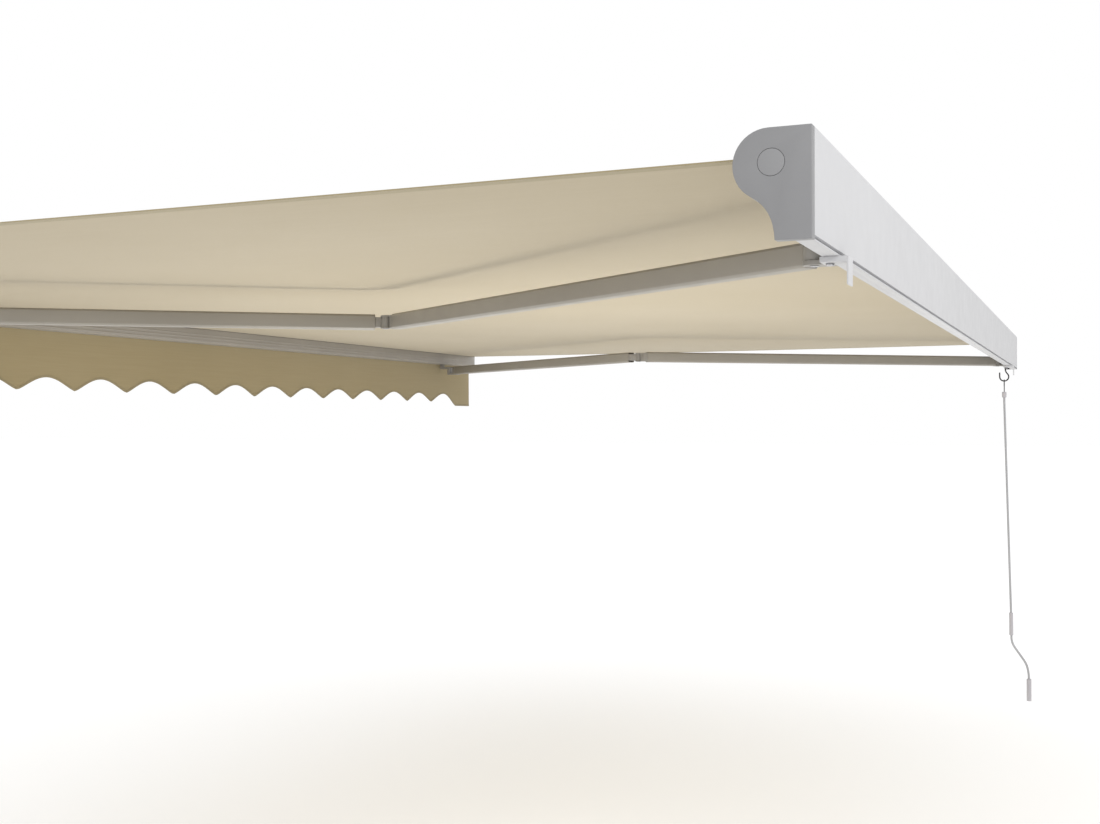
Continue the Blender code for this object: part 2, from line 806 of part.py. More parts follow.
def shoulder_bracket(side):
    """The casting fixed in the cassette's recess, with two lugs round the arm's eye."""
    name = f"shoulder_bracket_{side}"
    centre = mirrored(SHOULDER, side)
    block_front = SHOULDER.y + SHOULDER_LUG
    block_back = BACK_Y - SKIN - GAP - GROOVE_DEPTH
    outline = [(SHOULDER_LUG + 0.006, block_back), (-SHOULDER_LUG, block_back)]
    outline += [
        (x, SHOULDER.y + y) for x, y in circle((0.0, 0.0), SHOULDER_LUG, 14, 180.0, 360.0)
    ]
    outline += [(SHOULDER_LUG, block_front), (SHOULDER_LUG + 0.006, block_front + 0.006)]
    flip = 1.0 if side == "right" else -1.0
    bm = flat_region([(centre.x + flip * x, y, BASE_Z + ARM_LOW) for x, y in outline])
    sweep(bm, (0.0, 0.0, ARM_HIGH - ARM_LOW))
    bracket = finish(bm, name, powder_coat(name))
    slot_depth = box(
        (centre.x - 0.1, SHOULDER.y - 0.1, BASE_Z + KNUCKLE_LOW - GAP),
        (centre.x + 0.1, SHOULDER.y + NECK_CLEARANCE, BASE_Z + KNUCKLE_HIGH + GAP),
    )
    cut(
        bracket,
        [finish(slot_depth, f"{name}_slot", steel("cutter")), pin_hole(name, centre, "hole")],
    )
    pin(f"shoulder_pin_{side}", centre)


def upper_arm(side):
    frame = link_frame(SHOULDER, elbow(), side)
    start, end = mirrored(SHOULDER, side), mirrored(elbow(), side)
    arm_tube(f"upper_arm_{side}", frame, start)
    name = f"shoulder_knuckle_{side}"
    knuckle = casting(name, frame, 0.0, -1, SHOULDER_EYE, KNUCKLE_LOW, KNUCKLE_HIGH, start)
    cut(knuckle, [pin_hole(name, start, "hole")])
    name = f"elbow_fork_{side}"
    low, high = ARM_LOW + ARM_WALL + GAP, ARM_HIGH - ARM_WALL - GAP
    fork = casting(name, frame, LINK_LENGTH, 1, SMALL_LUG, low, high, start)
    slot = knuckle_slot(name, end, SMALL_LUG + SLOT_CLEARANCE)
    cut(fork, [slot, pin_hole(name, end, "hole")])
    pin(f"elbow_pin_{side}", end, low, high)


def forearm(side):
    frame = link_frame(elbow(), front_pivot(), side)
    start, end = mirrored(elbow(), side), mirrored(front_pivot(), side)
    arm_tube(f"forearm_{side}", frame, start)
    name = f"elbow_tongue_{side}"
    tongue = casting(name, frame, 0.0, -1, SMALL_EYE, KNUCKLE_LOW, KNUCKLE_HIGH, start)
    cut(tongue, [pin_hole(name, start, "hole")])
    name = f"front_head_{side}"
    head = casting(name, frame, LINK_LENGTH, 1, SMALL_EYE, KNUCKLE_LOW, KNUCKLE_HIGH, start)
    cut(head, [pin_hole(name, end, "hole")])
    arm_spring(side, frame, start)


def arm_spring(side, frame, origin):
    """The coil in the forearm that keeps the cloth tight."""
    middle = (FOLD_GAP + ARM_WIDTH / 2, (ARM_LOW + ARM_HIGH) / 2)
    steps = SPRING_TURNS * SPRING_STEPS
    name = f"arm_spring_{side}"
    points = []
    for step in range(steps + 1):
        angle = math.tau * step / SPRING_STEPS
        y = middle[0] + SPRING_RADIUS * math.cos(angle)
        z = middle[1] + SPRING_RADIUS * math.sin(angle)
        points.append(frame @ Vector((SPRING_START + SPRING_LENGTH * step / steps, y, z)))
    wire(name, steel(name), points, SPRING_WIRE, origin, 0)


def arm_holder(side):
    """The fork that carries the front bar on the forearm's end."""
    name = f"arm_holder_{side}"
    centre = mirrored(front_pivot(), side)
    bar_y = BACK_Y + BAR_REAR
    pad_top = BAR_FOOT - GAP
    outline = [
        (x, centre.y + y) for x, y in circle((0.0, 0.0), SMALL_LUG, 12, 0.0, 180.0)
    ]
    outline += [(-SMALL_LUG, bar_y + 0.012), (SMALL_LUG, bar_y + 0.012)]
    bm = flat_region([(centre.x + x, y, BASE_Z + ARM_LOW) for x, y in outline])
    sweep(bm, (0.0, 0.0, ARM_HIGH - ARM_LOW))
    holder = finish(bm, name, powder_coat(name), centre)
    pad = box(
        (centre.x - SMALL_LUG + 0.002, bar_y - HOLDER_REACH, BASE_Z + ARM_HIGH - 0.012),
        (centre.x + SMALL_LUG - 0.002, bar_y + 0.026, BASE_Z + ARM_HIGH + 0.0005),
    )
    foot = box(
        (centre.x - SMALL_LUG + 0.002, bar_y - HOLDER_REACH, BASE_Z + ARM_HIGH - 0.006),
        (centre.x + SMALL_LUG - 0.002, bar_y - 0.019, BASE_Z + pad_top),
    )
    for bm, label in ((pad, "pad"), (foot, "foot")):
        extra = finish(bm, f"{name}_{label}", steel("cutter"))
        extra.hide_render = True
        extra.display_type = "WIRE"
        join = holder.modifiers.new(label, "BOOLEAN")
        join.operation = "UNION"
        join.solver = "EXACT"
        join.object = extra
    slot = box(
        (centre.x - 0.05, centre.y - NECK_CLEARANCE, BASE_Z + KNUCKLE_LOW - GAP),
        (centre.x + 0.05, centre.y + 0.05, BASE_Z + KNUCKLE_HIGH + GAP),
    )
    cut(holder, [finish(slot, f"{name}_slot", steel("cutter")), pin_hole(name, centre, "hole")])
    pin(f"front_pin_{side}", centre)


# Front bar


def bar_shell():
    rear, front = BAR_REAR, BAR_REAR - BAR_DEPTH
    return [
        (rear, BAR_FOOT + 0.0050),
        (rear, BAR_TOP),
        (front + 0.008, BAR_TOP),
        (front, BAR_TOP - 0.008),
        (front, BAR_FOOT + 0.005),
        (front + 0.005, BAR_FOOT),
        (rear - 0.0200, BAR_FOOT),
        (rear - 0.0080, BAR_FOOT + 0.0015),
    ]


def bar_outline():
    """The front bar's section, with a slot for the canopy and one for the valance."""
    rear, front = BAR_REAR, BAR_REAR - BAR_DEPTH
    return [
        (rear, BAR_FOOT + 0.0050),
        (rear, CANOPY_FRONT_Z - 0.0018),
        (rear - 0.0040, CANOPY_FRONT_Z - 0.0018),
        (rear - 0.0040, CANOPY_FRONT_Z - 0.0025),
        (rear - 0.0090, CANOPY_FRONT_Z - 0.0025),
        (rear - 0.0090, CANOPY_FRONT_Z + 0.0025),
        (rear - 0.0040, CANOPY_FRONT_Z + 0.0025),
        (rear - 0.0040, CANOPY_FRONT_Z + 0.0018),
        (rear, CANOPY_FRONT_Z + 0.0018),
        (rear, BAR_TOP),
        (front + 0.008, BAR_TOP),
        (front, BAR_TOP - 0.008),
        (front, BAR_FOOT + 0.005),
        (front + 0.005, BAR_FOOT),
        (front + 0.0118, BAR_FOOT),
        (front + 0.0118, BAR_FOOT + 0.0030),
        (front + 0.0105, BAR_FOOT + 0.0030),
        (front + 0.0105, BAR_FOOT + 0.0080),
        (front + 0.0155, BAR_FOOT + 0.0080),
        (front + 0.0155, BAR_FOOT + 0.0030),
        (front + 0.0142, BAR_FOOT + 0.0030),
        (front + 0.0142, BAR_FOOT),
        (rear - 0.0200, BAR_FOOT),
        (rear - 0.0080, BAR_FOOT + 0.0015),
    ]


def bar_hollow():
    rear, front = BAR_REAR, BAR_REAR - BAR_DEPTH
    return [
        (rear - 0.0030, BAR_FOOT + 0.0100),
        (rear - 0.0030, CANOPY_FRONT_Z - 0.0060),
        (rear - 0.0120, CANOPY_FRONT_Z - 0.0060),
        (rear - 0.0120, BAR_TOP - 0.0030),
        (front + 0.0090, BAR_TOP - 0.0030),
        (front + 0.0030, BAR_TOP - 0.0090),
        (front + 0.0030, BAR_FOOT + 0.0110),
        (rear - 0.0200, BAR_FOOT + 0.0110),
    ]


def front_bar():
    origin = mirrored(front_pivot(), "right")
    bm = extrusion(bar_outline(), LEFT_X + BAR_CAP + GAP, RIGHT_X - BAR_CAP - GAP, bar_hollow())
    finish(bm, "front_bar", powder_coat("front_bar"), origin)
    for side, start, end in (
        ("right", RIGHT_X - BAR_CAP, RIGHT_X),
        ("left", LEFT_X, LEFT_X + BAR_CAP),
    ):
        cap = extrusion(bar_shell(), start, end)
        finish(cap, f"bar_cap_{side}", grey_plastic(f"bar_cap_{side}"), origin)


def keder_rod(name, y, z):
    origin = mirrored(front_pivot(), "right")
    y, z = world(y, z)
    ends = (LEFT_X + CANOPY_INSET, y, z), (RIGHT_X - CANOPY_INSET, y, z)
    finish(rod(*ends, KEDER_RADIUS, 8), name, grey_plastic(name), origin, smooth=True)


def scallop_edge():
    """The valance's lower edge: distances from its right end, and heights."""
    middle = (WIDTH - 2 * VALANCE_END_FLAT - 2 * VALANCE_END_SCALLOP) / (SCALLOPS - 2)
    widths = [VALANCE_END_SCALLOP] + [middle] * (SCALLOPS - 2) + [VALANCE_END_SCALLOP]
    steps = 12
    edge = [(0.0, VALANCE_END_Z), (VALANCE_END_FLAT, VALANCE_END_Z)]
    start = VALANCE_END_FLAT
    for index, width in enumerate(widths):
        left_low = VALANCE_END_Z if index == 0 else VALANCE_POINT_Z
        right_low = VALANCE_END_Z if index == len(widths) - 1 else VALANCE_POINT_Z
        for step in range(1, steps):
            share = step / steps
            low = left_low if share < 0.5 else right_low
            rise = math.sin(math.pi * share) ** 1.15
            edge.append((start + width * share, low + (VALANCE_CREST_Z - low) * rise))
        start += width
        edge.append((start, right_low))
    edge.append((WIDTH, VALANCE_END_Z))
    return edge


def valance():
    y, top = world(VALANCE_Y - CLOTH / 2, BAR_FOOT + 0.0034)
    first, last = RIGHT_X - BAR_CAP - GAP, LEFT_X + BAR_CAP + GAP
    outline = [(first, y, top), (last, y, top)]
    edge = [(min(max(RIGHT_X - run, last), first), y, BASE_Z + z) for run, z in scallop_edge()]
    outline += edge[::-1]
    bm = flat_region(outline)
    sweep(bm, (0.0, CLOTH, 0.0))
    finish(bm, "valance", canvas("valance"), mirrored(front_pivot(), "right"))


def main():
    clear_scene()
    back_profile()
    hood_profile()
    bottom_tray()
    for side in ("right", "left"):
        end_cap(side)
        cap_disc(side)
        wall_bracket(side)
        bracket_bolt(side)
        shoulder_bracket(side)
        upper_arm(side)
        forearm(side)
        arm_holder(side)
        roller_plug(side)
    roller_bearing()
    gearbox()
    canopy()
    fabric_guide()
    roller_tube()
    fabric_roll()
    gear_hook()
    crank_hook()
    crank_ferrule()
    crank_rod()
    grip("upper_grip", (-0.0285, -1.1980), (-0.0275, -1.3120))
    grip("lower_grip", (0.0538, -1.5200), (0.0538, -1.6270))
    front_bar()
    keder_rod("canopy_rod", BAR_REAR - 0.0065, CANOPY_FRONT_Z)
    keder_rod("valance_rod", VALANCE_Y, BAR_FOOT + 0.0056)
    valance()


main()
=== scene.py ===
import json
import math

import bpy
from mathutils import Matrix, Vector


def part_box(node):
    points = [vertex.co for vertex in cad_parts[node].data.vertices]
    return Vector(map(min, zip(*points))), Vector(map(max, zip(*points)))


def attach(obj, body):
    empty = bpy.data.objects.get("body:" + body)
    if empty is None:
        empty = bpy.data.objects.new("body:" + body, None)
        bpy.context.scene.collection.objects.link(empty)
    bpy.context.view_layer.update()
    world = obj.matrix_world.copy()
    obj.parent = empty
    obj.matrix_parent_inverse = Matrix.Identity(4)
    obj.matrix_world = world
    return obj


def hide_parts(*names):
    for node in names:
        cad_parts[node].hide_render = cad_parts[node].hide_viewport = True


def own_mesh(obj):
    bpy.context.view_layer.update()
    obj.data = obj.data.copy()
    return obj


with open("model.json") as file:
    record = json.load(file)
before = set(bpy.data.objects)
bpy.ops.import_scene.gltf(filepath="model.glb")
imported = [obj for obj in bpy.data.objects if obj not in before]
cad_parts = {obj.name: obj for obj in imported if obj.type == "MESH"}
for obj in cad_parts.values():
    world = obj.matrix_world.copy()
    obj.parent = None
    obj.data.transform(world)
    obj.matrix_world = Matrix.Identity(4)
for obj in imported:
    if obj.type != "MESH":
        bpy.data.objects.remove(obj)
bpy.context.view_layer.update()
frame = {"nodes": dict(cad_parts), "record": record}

print("frame loaded,", len(frame["nodes"]), "nodes")

# camera, in metres and degrees
cameraSettings = {
    "place": (2.035, 0.352, -0.233),
    "azimuth": 112.88,
    "pitch": 0.4,
    "lens": 42.46,
    "sensor": 36.0,
}


def makeCamera():
    c = cameraSettings
    turn = math.radians(c["azimuth"])
    rise = math.radians(c["pitch"])
    look = Vector((-math.sin(turn) * math.cos(rise), math.cos(turn) * math.cos(rise), math.sin(rise)))
    bpy.ops.object.camera_add(location=c["place"], rotation=look.to_track_quat("-Z", "Y").to_euler())
    camera = bpy.context.object
    camera.name = "mainCamera"
    camera.data.lens = c["lens"]
    camera.data.sensor_width = c["sensor"]
    camera.data.clip_start = 0.02
    camera.data.clip_end = 300.0
    bpy.context.scene.camera = camera


makeCamera()
print("camera placed")


def makeActive(piece):
    bpy.ops.object.select_all(action="DESELECT")
    piece.select_set(True)
    bpy.context.view_layer.objects.active = piece


def applyPlace(piece):
    makeActive(piece)
    bpy.ops.object.transform_apply(location=True, rotation=True, scale=True)


def applyModifiers(piece):
    makeActive(piece)
    for modifier in list(piece.modifiers):
        bpy.ops.object.modifier_apply(modifier=modifier.name)


def smoothByAngle(piece, degrees=35):
    makeActive(piece)
    bpy.ops.object.shade_smooth_by_angle(angle=math.radians(degrees))


def addBevel(piece, width, segments=2, angle=25):
    bevel = piece.modifiers.new("edgeRounding", "BEVEL")
    bevel.width = width
    bevel.segments = segments
    bevel.limit_method = "ANGLE"
    bevel.angle_limit = math.radians(angle)


def setMaterial(piece, material):
    piece.data.materials.clear()
    piece.data.materials.append(material)


def bodyOf(node):
    bodies = frame["record"]["behaviour"]["bodies"]
    return [body for body, nodes in bodies.items() if node in nodes][0]


def standFor(piece, node, body=None):
    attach(piece, body or bodyOf(node))
    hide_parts(node)


# node setups

def startMaterial(name, colour, roughness, metallic=0.0):
    material = bpy.data.materials.new(name)
    material.use_nodes = True
    shader = material.node_tree.nodes["Principled BSDF"]
    shader.inputs["Base Color"].default_value = (*colour, 1.0)
    shader.inputs["Roughness"].default_value = roughness
    shader.inputs["Metallic"].default_value = metallic
    return material, material.node_tree, shader


def addNoise(tree, coordinate, scale, detail=3.0):
    noise = tree.nodes.new("ShaderNodeTexNoise")
    noise.inputs["Scale"].default_value = scale
    noise.inputs["Detail"].default_value = detail
    tree.links.new(coordinate, noise.inputs["Vector"])
    return noise.outputs["Fac"]


def addRange(tree, value, low, high, start=0.3, end=0.7):
    node = tree.nodes.new("ShaderNodeMapRange")
    node.inputs["From Min"].default_value = start
    node.inputs["From Max"].default_value = end
    node.inputs["To Min"].default_value = low
    node.inputs["To Max"].default_value = high
    tree.links.new(value, node.inputs["Value"])
    return node.outputs["Result"]


def addMath(tree, operation, first, second):
    node = tree.nodes.new("ShaderNodeMath")
    node.operation = operation
    for socket, value in zip(node.inputs, (first, second)):
        if isinstance(value, (int, float)):
            socket.default_value = value
        else:
            tree.links.new(value, socket)
    return node.outputs[0]


def addBump(tree, shader, height, strength, distance):
    bump = tree.nodes.new("ShaderNodeBump")
    bump.inputs["Strength"].default_value = strength
    bump.inputs["Distance"].default_value = distance
    tree.links.new(height, bump.inputs["Height"])
    tree.links.new(bump.outputs["Normal"], shader.inputs["Normal"])


def mixColours(tree, shader, factor, first, second):
    mix = tree.nodes.new("ShaderNodeMix")
    mix.data_type = "RGBA"
    tree.links.new(factor, mix.inputs["Factor"])
    mix.inputs[6].default_value = (*first, 1.0)
    mix.inputs[7].default_value = (*second, 1.0)
    tree.links.new(mix.outputs[2], shader.inputs["Base Color"])
    return mix


def objectCoordinate(tree):
    return tree.nodes.new("ShaderNodeTexCoord").outputs["Object"]


def scaled(colour, share):
    return tuple(channel * share for channel in colour)


# sprayed powder coat: fine orange peel, faint cloudiness, dust in broad patches
def paintMaterial(name, colour, roughness=0.42, metallic=0.0, dust=0.9):
    material, tree, shader = startMaterial(name, colour, roughness, metallic)
    place = objectCoordinate(tree)
    cloud = addRange(tree, addNoise(tree, place, 4.0, 4.0), 0.0, 1.0)
    mixColours(tree, shader, cloud, colour, scaled(colour, dust))
    rough = addRange(tree, addNoise(tree, place, 22.0, 5.0), roughness - 0.05, roughness + 0.08)
    tree.links.new(rough, shader.inputs["Roughness"])
    addBump(tree, shader, addNoise(tree, place, 900.0, 2.0), 0.12, 0.0004)
    return material


# moulded plastic: faint grain and slightly uneven gloss
def plasticMaterial(name, colour, roughness=0.5):
    material, tree, shader = startMaterial(name, colour, roughness)
    place = objectCoordinate(tree)
    shade = addRange(tree, addNoise(tree, place, 9.0, 3.0), 0.0, 1.0)
    mixColours(tree, shader, shade, colour, scaled(colour, 0.92))
    rough = addRange(tree, addNoise(tree, place, 60.0, 4.0), roughness - 0.06, roughness + 0.06)
    tree.links.new(rough, shader.inputs["Roughness"])
    addBump(tree, shader, addNoise(tree, place, 1600.0, 2.0), 0.15, 0.0002)
    return material


# zinc plated or drawn steel: streaks along one axis
def steelMaterial(name, colour=(0.55, 0.55, 0.57), roughness=0.32):
    material, tree, shader = startMaterial(name, colour, roughness, 1.0)
    stretch = tree.nodes.new("ShaderNodeMapping")
    stretch.inputs["Scale"].default_value = (8.0, 300.0, 300.0)
    tree.links.new(objectCoordinate(tree), stretch.inputs["Vector"])
    streak = addNoise(tree, stretch.outputs["Vector"], 1.0, 4.0)
    tree.links.new(addRange(tree, streak, roughness - 0.08, roughness + 0.12), shader.inputs["Roughness"])
    mixColours(tree, shader, addRange(tree, streak, 0.0, 1.0), colour, scaled(colour, 0.8))
    addBump(tree, shader, streak, 0.05, 0.0002)
    return material


def addThreads(tree, place, axis, scale):
    wave = tree.nodes.new("ShaderNodeTexWave")
    wave.wave_type = "BANDS"
    wave.bands_direction = axis
    wave.wave_profile = "SIN"
    wave.inputs["Scale"].default_value = scale
    wave.inputs["Distortion"].default_value = 0.6
    wave.inputs["Detail"].default_value = 1.0
    wave.inputs["Detail Scale"].default_value = 0.4
    tree.links.new(place, wave.inputs["Vector"])
    return wave.outputs["Fac"]


clothSettings = {
    "colour": (0.47, 0.405, 0.285),
    "shade": (0.41, 0.345, 0.225),
    "valance": (0.37, 0.305, 0.18),
    "valanceShade": (0.32, 0.26, 0.145),
    "hem": (0.40, 0.335, 0.20),
    "threads": 150.0,  # about a thread each 2 mm
}


# woven acrylic: crossing threads, slubs along them, slow fading and painted shade in the gaps between the threads
def clothMaterial(name, colour, shade, second="Y"):
    material, tree, shader = startMaterial(name, colour, 0.88)
    shader.inputs["Sheen Weight"].default_value = 0.25
    shader.inputs["Sheen Roughness"].default_value = 0.5
    shader.inputs["Specular IOR Level"].default_value = 0.15
    place = objectCoordinate(tree)
    warp = addThreads(tree, place, "X", clothSettings["threads"])
    weft = addThreads(tree, place, second, clothSettings["threads"])
    weave = addMath(tree, "MULTIPLY", warp, weft)
    slub = tree.nodes.new("ShaderNodeMapping")
    slub.inputs["Scale"].default_value = (260.0, 6.0, 260.0) if second == "Y" else (6.0, 260.0, 260.0)
    tree.links.new(place, slub.inputs["Vector"])
    slubs = addNoise(tree, slub.outputs["Vector"], 1.0, 3.0)
    fade = addRange(tree, addNoise(tree, place, 1.1, 3.0), 0.0, 0.6)
    grain = addRange(tree, slubs, 0.0, 0.35)
    # painted shade: the colour is darkened in the gaps between the threads, where the weave is deepest
    depth = addMath(tree, "MULTIPLY", addMath(tree, "SUBTRACT", 1.0, weave), 0.25)
    total = addMath(tree, "ADD", addMath(tree, "ADD", fade, grain), depth)
    mixColours(tree, shader, total, colour, shade)
    addBump(tree, shader, weave, 0.5, 0.0004)
    return material


coatLight = paintMaterial("lightGreyCoat", (0.53, 0.53, 0.54), 0.45, dust=0.975)
coatTaupe = paintMaterial("taupeCoat", (0.315, 0.293, 0.255), 0.40)
coatBar = paintMaterial("barCoat", (0.33, 0.305, 0.27), 0.42)
coatCasting = paintMaterial("castingCoat", (0.30, 0.285, 0.26), 0.5, dust=0.85)
capPlastic = plasticMaterial("capPlastic", (0.25, 0.25, 0.256), 0.5)
discPlastic = plasticMaterial("discPlastic", (0.27, 0.27, 0.276), 0.42)
gripPlastic = plasticMaterial("gripPlastic", (0.50, 0.485, 0.51), 0.45)
darkPlastic = plasticMaterial("darkPlastic", (0.06, 0.06, 0.062), 0.5)
blackCoat = paintMaterial("blackCoat", (0.012, 0.012, 0.013), 0.38)
rodCoat = paintMaterial("rodCoat", (0.42, 0.42, 0.435), 0.36, 0.2)
zinc = steelMaterial("zincSteel")
cloth = clothMaterial("awningCanvas", clothSettings["colour"], clothSettings["shade"])
valanceCloth = clothMaterial("valanceCanvas", clothSettings["valance"], clothSettings["valanceShade"], "Z")
hemCloth = clothMaterial("hemTape", clothSettings["hem"], scaled(clothSettings["hem"], 0.8))
bindingCloth = clothMaterial("bindingTape", scaled(clothSettings["hem"], 0.85), scaled(clothSettings["hem"], 0.65), "Z")
print("materials ready")


# a CAD node's shape with its edges rounded and its round faces shaded smooth
def roundedCopy(node, material, width=0.0008, segments=2, angle=25, shading=40):
    piece = bpy.data.objects.new(node + "Finish", frame["nodes"][node].data.copy())
    bpy.context.scene.collection.objects.link(piece)
    makeActive(piece)
    bpy.ops.object.mode_set(mode="EDIT")
    bpy.ops.mesh.select_all(action="SELECT")
    bpy.ops.mesh.remove_doubles(threshold=0.00001)
    bpy.ops.mesh.dissolve_limited(angle_limit=math.radians(0.8))
    bpy.ops.object.mode_set(mode="OBJECT")
    addBevel(piece, width, segments, angle)
    applyModifiers(piece)
    smoothByAngle(piece, shading)
    setMaterial(piece, material)
    standFor(piece, node)
    return piece


# a CAD wire, rounded into a smooth bar
def smoothCopy(node, material, levels=2):
    piece = bpy.data.objects.new(node + "Finish", frame["nodes"][node].data.copy())
    bpy.context.scene.collection.objects.link(piece)
    makeActive(piece)
    bpy.ops.object.mode_set(mode="EDIT")
    bpy.ops.mesh.select_all(action="SELECT")
    bpy.ops.mesh.remove_doubles(threshold=0.00001)
    bpy.ops.mesh.tris_convert_to_quads()
    bpy.ops.object.mode_set(mode="OBJECT")
    smoother = piece.modifiers.new("roundBar", "SUBSURF")
    smoother.levels = levels
    smoother.render_levels = levels
    applyModifiers(piece)
    smoothByAngle(piece, 60)
    setMaterial(piece, material)
    standFor(piece, node)
    return piece


# rounding of each kind of part: material, edge width, segments
finishes = {
    "back_profile": (coatLight, 0.0006, 2),
    "hood_profile": (coatLight, 0.0005, 2),
    "bottom_tray": (coatLight, 0.0005, 2),
    "end_cap": (capPlastic, 0.0012, 3),
    "cap_disc": (discPlastic, 0.0010, 3),
    "wall_bracket": (coatLight, 0.0008, 3),
    "bracket_bolt": (zinc, 0.0004, 2),
    "shoulder_bracket": (coatCasting, 0.0012, 3),
    "shoulder_knuckle": (coatCasting, 0.0010, 3),
    "shoulder_pin": (zinc, 0.0004, 2),
    "upper_arm": (coatTaupe, 0.0016, 3),
    "elbow_fork": (coatCasting, 0.0010, 3),
    "elbow_pin": (zinc, 0.0004, 2),
    "forearm": (coatTaupe, 0.0016, 3),
    "elbow_tongue": (coatCasting, 0.0010, 3),
    "front_head": (coatCasting, 0.0010, 3),
    "front_pin": (zinc, 0.0004, 2),
    "arm_holder": (coatCasting, 0.0012, 3),
    "front_bar": (coatBar, 0.0012, 3),
    "bar_cap": (capPlastic, 0.0010, 3),
    "crank_ferrule": (gripPlastic, 0.0006, 3),
    "gearbox": (darkPlastic, 0.0010, 2),
}


def finishCadParts():
    for kind, (material, width, segments) in finishes.items():
        matches = [node for node in frame["nodes"] if node in (kind, kind + "_right", kind + "_left")]
        for node in sorted(matches):
            roundedCopy(node, material, width, segments)
    for node, material in (("gear_hook", blackCoat), ("crank_hook", blackCoat), ("crank_rod", rodCoat)):
        smoothCopy(node, material, 1)
    kept = {
        "roller_bearing": darkPlastic,
        "roller_tube": zinc,
        "roller_plug_right": darkPlastic,
        "roller_plug_left": darkPlastic,
        "fabric_roll": cloth,
        "fabric_guide": capPlastic,
        "canopy_rod": darkPlastic,
        "valance_rod": darkPlastic,
        "arm_spring_right": zinc,
        "arm_spring_left": zinc,
    }
    for node, material in kept.items():
        setMaterial(frame["nodes"][node], material)


finishCadParts()
print("cad parts finished")

canopyLow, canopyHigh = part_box("canopy")
barLow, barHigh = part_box("front_bar")
valanceLow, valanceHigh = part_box("valance")

canopySettings = {
    "thickness": 0.0007,
    "bend": (-0.1245, 0.1486),  # where the cloth turns over the guide, y and z
    "frontZ": 0.1421,
    "sag": 0.0035,
    "cuts": 48,
    "hemWidth": 0.022,
    "hemThickness": 0.0024,
}


# height of the cloth's middle at a distance y
def canopyHeight(y):
    bendY, bendZ = canopySettings["bend"]
    if y > bendY:
        share = (y - bendY) / (canopyHigh.y - bendY)
        return bendZ + share * (canopyHigh.z - canopySettings["thickness"] - bendZ)
    share = (bendY - y) / (bendY - canopyLow.y)
    sag = canopySettings["sag"] * math.sin(math.pi * share)
    return bendZ + share * (canopySettings["frontZ"] - bendZ) - sag


def bisectAt(y):
    bpy.ops.mesh.select_all(action="SELECT")
    bpy.ops.mesh.bisect(plane_co=(0.0, y, 0.0), plane_no=(0.0, 1.0, 0.0))


def clothStrip(name, lowX, highX, lowY, highY, thickness, cuts, material):
    bpy.ops.object.select_all(action="DESELECT")
    bpy.ops.mesh.primitive_plane_add(size=1.0, location=((lowX + highX) / 2, (lowY + highY) / 2, 0.0))
    piece = bpy.context.object
    piece.name = name
    piece.scale = (highX - lowX, highY - lowY, 1.0)
    applyPlace(piece)
    bpy.ops.object.mode_set(mode="EDIT")
    bpy.ops.mesh.select_all(action="SELECT")
    bpy.ops.mesh.subdivide(number_cuts=cuts)
    for shift in (-0.004, 0.0, 0.004):
        bisectAt(canopySettings["bend"][0] + shift)
    bpy.ops.object.mode_set(mode="OBJECT")
    for vertex in piece.data.vertices:
        vertex.co.z = canopyHeight(vertex.co.y)
    wall = piece.modifiers.new("thickness", "SOLIDIFY")
    wall.thickness = thickness
    wall.offset = 0.0
    applyModifiers(piece)
    smoothByAngle(piece, 40)
    setMaterial(piece, material)
    return piece


def squashCanopy(piece):
    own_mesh(piece)


def makeCanopy():
    c = canopySettings
    sheet = clothStrip(
        "canopyCloth", canopyLow.x, canopyHigh.x, canopyLow.y, canopyHigh.y, c["thickness"], c["cuts"], cloth
    )
    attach(sheet, "cassette")
    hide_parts("canopy")
    rear = c["bend"][0] - 0.008
    for side, lowX, highX in (
        ("Right", canopyHigh.x - c["hemWidth"], canopyHigh.x + 0.001),
        ("Left", canopyLow.x - 0.001, canopyLow.x + c["hemWidth"]),
    ):
        hem = clothStrip("canopyHem" + side, lowX, highX, barHigh.y + 0.001, rear, c["hemThickness"], 30, hemCloth)
        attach(hem, "cassette")
        squashCanopy(hem)
    squashCanopy(sheet)


makeCanopy()
print("canopy made")

# the valance's edge, as distances from its right end and heights above its points
valanceSettings = {
    "endFlat": 0.170,
    "endScallop": 0.300,
    "scallops": 17,
    "crest": 0.0660,
    "point": 0.0200,
    "columns": 420,
    "rows": 7,
    "thickness": 0.0008,
    "binding": 0.008,
    "bindingThickness": 0.0024,
    "wave": 0.0022,
}


def edgeHeight(x):
    v = valanceSettings
    span = barHigh.x - barLow.x
    run = min(max(barHigh.x - x, 0.0), span)
    run = min(run, span - run) + 0.0043  # both halves are alike
    if run < v["endFlat"]:
        return 0.0
    middle = (5.0 - 2 * v["endFlat"] - 2 * v["endScallop"]) / (v["scallops"] - 2)
    past = run - v["endFlat"]
    if past < v["endScallop"]:
        share = past / v["endScallop"]
        low = 0.0 if share < 0.5 else v["point"]
    else:
        share = ((past - v["endScallop"]) / middle) % 1.0
        low = v["point"]
    rise = max(math.sin(math.pi * share), 0.0) ** 1.25
    return low + (v["crest"] - low) * rise


def hangWave(x, depth):
    v = valanceSettings
    slow = math.sin(x * 7.3) * 0.6 + math.sin(x * 17.1 + 1.3) * 0.4
    return v["wave"] * slow * depth


